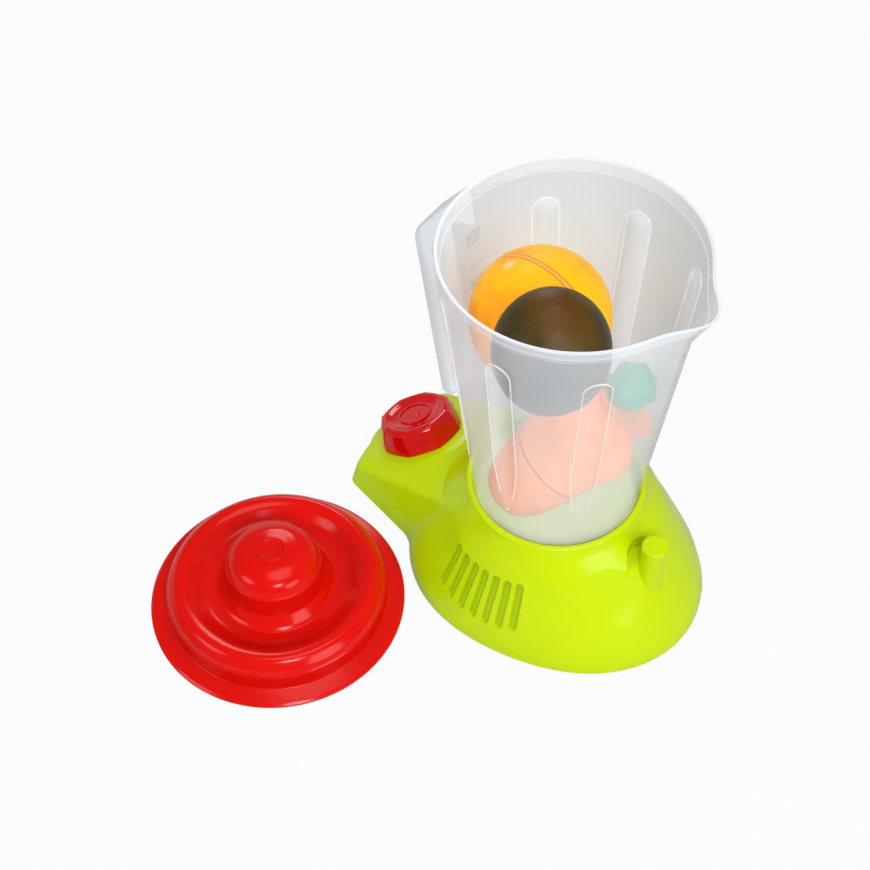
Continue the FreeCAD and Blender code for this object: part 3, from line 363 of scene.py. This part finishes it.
def seam(tree, place, point, normal, half_width):
    """How close a spot is to a parting plane: 0 on it, 1 at its half width and beyond."""
    away = add(tree, "ShaderNodeVectorMath", {"operation": "SUBTRACT", 1: point}, {0: place})
    along = add(tree, "ShaderNodeVectorMath", {"operation": "DOT_PRODUCT", 1: normal}, {0: away.outputs[0]})
    size = add(tree, "ShaderNodeMath", {"operation": "ABSOLUTE"}, {0: along.outputs["Value"]})
    return add(tree, "ShaderNodeMath", {"operation": "DIVIDE", 1: half_width, "use_clamp": True},
               {0: size.outputs[0]}).outputs[0]


def orange_peel():
    """Soft vinyl cast from real fruit: pits 1.5 mm apart over a waxy orange, painted lighter and yellower
    on one side as painted light, and a raised parting line.
    """
    material, tree, shader, place = plastic("dimpled orange vinyl")
    blush = add(tree, "ShaderNodeTexNoise", {"Scale": 1 / (26 * MM), "Detail": 3.0}, {"Vector": place})
    # painted light and shade: the rind is lighter and yellower towards (-0.69, 0.72, 0.1) and darker away
    # from it, as the light falls
    side = add(tree, "ShaderNodeVectorMath", {"operation": "DOT_PRODUCT", 1: (-0.69, 0.72, 0.1)},
               {0: place})
    sweep = add(tree, "ShaderNodeMapRange", {"From Min": -42 * MM, "From Max": 20 * MM, "To Min": -0.16,
                                             "To Max": 0.16}, {"Value": side.outputs["Value"]})
    blush_and_painted_side_light = add(tree, "ShaderNodeMath", {"operation": "ADD"}, {0: blush.outputs["Fac"], 1: sweep.outputs[0]})
    tone = add(tree, "ShaderNodeValToRGB", links={"Fac": blush_and_painted_side_light.outputs[0]})
    tone.color_ramp.elements[0].position = 0.34
    tone.color_ramp.elements[0].color = colour("#F99500")
    tone.color_ramp.elements[1].position = 0.62
    tone.color_ramp.elements[1].color = colour("#FFC000")
    near = seam(tree, place, PARTING, (1, 0, 0), 1.5 * MM)
    line = add(tree, "ShaderNodeValToRGB", links={"Fac": near})
    ramp = line.color_ramp
    ramp.elements[0].position = 0.42
    ramp.elements[0].color = colour("#FFB347")
    ramp.elements[1].position = 1.0
    ramp.elements[1].color = colour("#FFA800")
    edge = ramp.elements.new(0.62)
    edge.color = colour("#D25A04")
    band = add(tree, "ShaderNodeMath", {"operation": "LESS_THAN", 1: 0.98}, {0: near})
    mixed = add(tree, "ShaderNodeMix", {"data_type": "RGBA"}, {0: band.outputs[0]})
    tree.links.new(tone.outputs["Color"], mixed.inputs[6])
    tree.links.new(line.outputs["Color"], mixed.inputs[7])
    gap = add(tree, "ShaderNodeVectorMath", {"operation": "DISTANCE", 1: STEM_SCAR}, {0: place})
    scar = add(tree, "ShaderNodeMapRange", {"From Min": 1.4 * MM, "From Max": 3.6 * MM, "To Min": 0.55,
                                            "To Max": 0.0}, {"Value": gap.outputs["Value"]})
    stem = add(tree, "ShaderNodeMix", {"data_type": "RGBA"}, {0: scar.outputs[0], 6: mixed.outputs[2]})
    stem.inputs[7].default_value = colour("#FFE2A0")
    pits = add(tree, "ShaderNodeTexVoronoi", {"feature": "SMOOTH_F1", "Scale": 1 / (1.5 * MM),
                                              "Smoothness": 0.5}, {"Vector": place})
    wrinkle = add(tree, "ShaderNodeTexNoise", {"Scale": 1 / (5 * MM), "Detail": 3.0}, {"Vector": place})
    height = add(tree, "ShaderNodeMath", {"operation": "MULTIPLY_ADD", 1: 0.8},
                 {0: pits.outputs["Distance"], 2: wrinkle.outputs["Fac"]})
    relief = add(tree, "ShaderNodeBump", {"Strength": 0.75, "Distance": 0.55 * MM},
                 {"Height": height.outputs[0]})
    tree.links.new(stem.outputs[2], shader.inputs["Base Color"])
    tree.links.new(relief.outputs["Normal"], shader.inputs["Normal"])
    shader.inputs["Roughness"].default_value = 0.45
    shader.inputs["Specular IOR Level"].default_value = 0.25
    return material


def avocado_rind():
    """Dark olive vinyl rind: brown blush where paint was rubbed back, olive speckle, pebbled skin."""
    material, tree, shader, place = plastic("olive brown vinyl rind")
    patch = add(tree, "ShaderNodeTexNoise", {"Scale": 1 / (42 * MM), "Detail": 3.0, "Roughness": 0.45},
                {"Vector": place})
    gap = add(tree, "ShaderNodeVectorMath", {"operation": "DISTANCE", 1: RUBBED_SPOT}, {0: place})
    rubbed = add(tree, "ShaderNodeMapRange", {"From Min": 26 * MM, "From Max": 2 * MM, "To Min": -0.12,
                                              "To Max": 0.22}, {"Value": gap.outputs["Value"]})
    blush = add(tree, "ShaderNodeMath", {"operation": "ADD"},
                {0: patch.outputs["Fac"], 1: rubbed.outputs[0]})
    tone = add(tree, "ShaderNodeValToRGB", links={"Fac": blush.outputs[0]})
    ramp = tone.color_ramp
    ramp.elements[0].position = 0.36
    ramp.elements[0].color = colour("#382C06")
    ramp.elements[1].position = 0.68
    ramp.elements[1].color = colour("#602600")
    middle = ramp.elements.new(0.5)
    middle.color = colour("#533A06")
    speck = add(tree, "ShaderNodeTexNoise", {"Scale": 1 / (0.9 * MM), "Detail": 4.0, "Roughness": 0.7},
                {"Vector": place})
    spots = add(tree, "ShaderNodeValToRGB", links={"Fac": speck.outputs["Fac"]})
    spots.color_ramp.elements[0].position = 0.5
    spots.color_ramp.elements[0].color = colour("#000000")
    spots.color_ramp.elements[1].position = 0.78
    spots.color_ramp.elements[1].color = colour("#6A6A6A")
    mixed = add(tree, "ShaderNodeMix", {"data_type": "RGBA"}, {0: spots.outputs["Color"]})
    tree.links.new(tone.outputs["Color"], mixed.inputs[6])
    mixed.inputs[7].default_value = colour("#A39350")
    relief = add(tree, "ShaderNodeBump", {"Strength": 0.4, "Distance": 0.3 * MM},
                 {"Height": speck.outputs["Fac"]})
    tree.links.new(mixed.outputs[2], shader.inputs["Base Color"])
    tree.links.new(relief.outputs["Normal"], shader.inputs["Normal"])
    shader.inputs["Roughness"].default_value = 0.38
    shader.inputs["Specular IOR Level"].default_value = 0.22
    return material


def carrot_root():
    """Satin orange vinyl with faint growth rings and the groove where its two pieces meet."""
    material, tree, shader, place = plastic("orange vinyl root")
    patch = add(tree, "ShaderNodeTexNoise", {"Scale": 1 / (18 * MM), "Detail": 3.0}, {"Vector": place})
    tone = add(tree, "ShaderNodeValToRGB", links={"Fac": patch.outputs["Fac"]})
    tone.color_ramp.elements[0].position = 0.35
    tone.color_ramp.elements[0].color = colour("#F7871A")
    tone.color_ramp.elements[1].position = 0.65
    tone.color_ramp.elements[1].color = colour("#FDA034")
    near = seam(tree, place, CARROT_SEAM, CARROT_AXIS, 0.9 * MM)
    groove = add(tree, "ShaderNodeMix", {"data_type": "RGBA"}, {0: near})
    groove.inputs[6].default_value = colour("#B23A1E")
    tree.links.new(tone.outputs["Color"], groove.inputs[7])
    rings = add(tree, "ShaderNodeTexNoise", {"Scale": 1 / (2.4 * MM), "Detail": 3.0}, {"Vector": place})
    relief = add(tree, "ShaderNodeBump", {"Strength": 0.2, "Distance": 0.3 * MM},
                 {"Height": rings.outputs["Fac"]})
    tree.links.new(groove.outputs[2], shader.inputs["Base Color"])
    tree.links.new(relief.outputs["Normal"], shader.inputs["Normal"])
    shader.inputs["Roughness"].default_value = 0.45
    return material


def painted_vinyl(name, low, high, size, roughness, bump, grain):
    """Play food skin in two close tones, with a soft moulded grain."""
    material, tree, shader, place = plastic(name)
    patch = add(tree, "ShaderNodeTexNoise", {"Scale": 1 / (size * MM), "Detail": 3.0}, {"Vector": place})
    tone = add(tree, "ShaderNodeValToRGB", links={"Fac": patch.outputs["Fac"]})
    tone.color_ramp.elements[0].position = 0.35
    tone.color_ramp.elements[0].color = colour(low)
    tone.color_ramp.elements[1].position = 0.65
    tone.color_ramp.elements[1].color = colour(high)
    skin = add(tree, "ShaderNodeTexNoise", {"Scale": 1 / (grain * MM), "Detail": 3.0}, {"Vector": place})
    relief = add(tree, "ShaderNodeBump", {"Strength": bump, "Distance": 0.3 * MM},
                 {"Height": skin.outputs["Fac"]})
    tree.links.new(tone.outputs["Color"], shader.inputs["Base Color"])
    tree.links.new(relief.outputs["Normal"], shader.inputs["Normal"])
    shader.inputs["Roughness"].default_value = roughness
    return material


# ------------------------------------------------------------------ room
def studio():
    """White sweep with a pale cove behind it, a soft light overhead and a softbox at each corner."""
    ground = bmesh.new()
    bmesh.ops.create_grid(ground, x_segments=1, y_segments=1, size=6.0)
    data = bpy.data.meshes.new("floor")
    ground.to_mesh(data)
    ground.free()
    floor = bpy.data.objects.new("floor", data)
    floor.location.z = -0.2 * MM
    scene.collection.objects.link(floor)

    # paper that is lit up to white in plain sight, and greyer where it is seen through the jug
    material, tree, shader, place = plastic("white paper sweep")
    shader.inputs["Base Color"].default_value = colour("#C6C6C6")
    shader.inputs["Roughness"].default_value = 0.9
    shader.inputs["Specular IOR Level"].default_value = 0.1
    path = add(tree, "ShaderNodeLightPath")
    open_view = add(tree, "ShaderNodeMath", {"operation": "LESS_THAN", 1: 0.5},
                    {0: path.outputs["Transparent Depth"]})
    level = add(tree, "ShaderNodeMapRange", {"To Min": 0.46, "To Max": 1.0},
                {"Value": open_view.outputs[0]})
    glow = add(tree, "ShaderNodeEmission", {"Color": [0.985, 0.993, 1.0, 1]},
               {"Strength": level.outputs[0]})
    share = add(tree, "ShaderNodeMath", {"operation": "MULTIPLY", 1: 0.95},
                {0: path.outputs["Is Camera Ray"]})
    both = add(tree, "ShaderNodeMixShader",
               links={0: share.outputs[0], 1: shader.outputs[0], 2: glow.outputs[0]})
    tree.links.new(both.outputs[0], tree.nodes["Material Output"].inputs["Surface"])
    paint(floor, material)

    # dim room, white in plain sight, with a low white cove on the far side for gloss to catch
    world = bpy.data.worlds.new("studio")
    world.use_nodes = True
    scene.world = world
    tree = world.node_tree
    dim = tree.nodes["Background"]
    dim.inputs["Color"].default_value = [1, 1, 1, 1]
    dim.inputs["Strength"].default_value = 0.3
    white = add(tree, "ShaderNodeBackground", {"Color": [1, 1, 1, 1], "Strength": 1.0})
    path = add(tree, "ShaderNodeLightPath")
    bearing = add(tree, "ShaderNodeTexCoord").outputs["Generated"]
    rise = add(tree, "ShaderNodeSeparateXYZ", links={0: bearing}).outputs["Z"]
    low = add(tree, "ShaderNodeMapRange", {"From Min": 0.26, "From Max": 0.1}, {"Value": rise})
    away = add(tree, "ShaderNodeVectorMath", {"operation": "DOT_PRODUCT", 1: (-0.73, -0.68, 0.0)},
               {0: bearing})
    far = add(tree, "ShaderNodeMapRange", {"From Min": 0.1, "From Max": 0.5},
              {"Value": away.outputs["Value"]})
    cove = add(tree, "ShaderNodeMath", {"operation": "MULTIPLY"}, {0: low.outputs[0], 1: far.outputs[0]})
    caught = add(tree, "ShaderNodeMath", {"operation": "MULTIPLY"},
                 {0: path.outputs["Is Glossy Ray"], 1: cove.outputs[0]})
    seen = add(tree, "ShaderNodeMath", {"operation": "MAXIMUM"},
               {0: path.outputs["Is Camera Ray"], 1: path.outputs["Is Transmission Ray"]})
    bright = add(tree, "ShaderNodeMath", {"operation": "MAXIMUM"},
                 {0: seen.outputs[0], 1: caught.outputs[0]})
    both = add(tree, "ShaderNodeMixShader",
               links={0: bright.outputs[0], 1: dim.outputs[0], 2: white.outputs[0]})
    tree.links.new(both.outputs[0], tree.nodes["World Output"].inputs["Surface"])

    middle = Vector((0.05, -0.03, 0.08))
    for name, spot, size, power in (("overhead", (0.05, 0.1, 1.4), 0.8, 4.5),
                                    ("key softbox", (0.72, 0.85, 1.05), 0.42, 9.0),
                                    ("left softbox", (1.0, -0.42, 0.62), 0.5, 2.8),
                                    ("right softbox", (0.18, 1.2, 0.5), 0.72, 6.0),
                                    ("back softbox", (-0.75, -0.85, 0.85), 0.5, 4.0)):
        data = bpy.data.lights.new(name, "AREA")
        data.shape = "DISK"
        data.size = size
        data.energy = power
        lamp = bpy.data.objects.new(name, data)
        lamp.location = spot
        lamp.rotation_euler = (middle - Vector(spot)).to_track_quat("-Z", "Y").to_euler()
        scene.collection.objects.link(lamp)


# ------------------------------------------------------------------ build
camera()
studio()

# ABS, injection moulded in polished and in etched tools
lime = glossy_moulding("glossy lime ABS", "#C3DC00", 0.2)
# the same lime made darker, as painted shade for the vents' sides and floors
lime_painted_vent_shade = glossy_moulding("glossy lime ABS, painted shade in the vents", "#B0CC00", 0.35)
lime_satin = glossy_moulding("satin lime ABS", "#BCD202", 0.45, bump=0.1)
red_knob = glossy_moulding("glossy red ABS", "#CE0204", 0.08, 0.45)
# polypropylene, dyed for the lid and left natural for the jug
red_lid = glossy_moulding("glossy red polypropylene", "#D80A02", 0.16)
frosted = frosted_polypropylene("frosted natural polypropylene", "#E6EDF4", "#EEF4FA", 0.3,
                                wall=0.28, band=0.4, lip=0.8)
# whiter and more opaque than the jug: partly thicker plastic, partly a painted highlight along the flute
# creases
milky_painted_highlight = frosted_polypropylene("milky natural polypropylene, thicker at an edge", "#F6F8FA", "#FCFDFD",
                              0.22, wall=0.34, band=0.34, lip=0.34)
ink = printed_ink()
# acetal for what turns and clicks, zinc plated steel for screws and spring
natural = glossy_moulding("natural acetal", "#E6E6E0", 0.4)
zinc = steel()
# soft vinyl play food
peel = orange_peel()
rind = avocado_rind()
flesh = painted_vinyl("pale green vinyl flesh", "#C9CF7A", "#DDD98E", 18, 0.5, 0.06, 1.2)
stone = painted_vinyl("brown vinyl stone", "#6B3A17", "#82491F", 6, 0.45, 0.1, 0.8)
carrot = carrot_root()
leaf = painted_vinyl("green vinyl leaves", "#16805F", "#3FAE8C", 2.4, 0.6, 1.0, 1.6)

housing = moulding("base_housing", "lime_housing", lime, "base", 20.0)
even_facets_and_paint_vent_shade(housing, lime_painted_vent_shade)
moulding("knob_cap", "red_knob", red_knob, "knob", 40.0)
jug = moulding("jug", "frosted_jug", frosted, "jug")
jug.visible_shadow = False          # thin polypropylene passes nearly all light on to what is behind it
# flute creases drawn as whiter beads: partly real thickness, partly a painted highlight for the light the
# creases catch
beads("jug", "jug_edge_beads", milky_painted_highlight, "jug", on_flute, 0.42 * MM)
scale_marks(ink)
lid = turned_lid(red_lid)
lid.visible_diffuse = False         # keeps its red off the lime housing beside it
moulding("orange_half_a", "orange_right", peel, "orange")
moulding("orange_half_b", "orange_left", peel, "orange")
moulding("avocado_skin", "avocado_rind", rind, "avocado")
moulding("carrot_tip", "carrot_point", carrot, "carrot")
moulding("carrot_body", "carrot_crown", carrot, "carrot")
moulding("carrot_leaves", "carrot_top", leaf, "carrot")
for name in ("orange_right", "orange_left", "avocado_rind", "carrot_point"):
    bpy.data.objects[name].visible_shadow = False       # light comes to them from all round

paint(nodes["bottom_cover"], lime_satin)
for name in ("knob_shaft", "click_wheel"):
    paint(nodes[name], natural)
for name in ("cover_screw_1", "cover_screw_2", "cover_screw_3", "cover_screw_4", "knob_washer",
             "knob_screw", "click_spring", "click_spring_screw"):
    paint(nodes[name], zinc)
paint(nodes["avocado_flesh"], flesh)
paint(nodes["avocado_stone"], stone)

scene.view_settings.view_transform = "Standard"
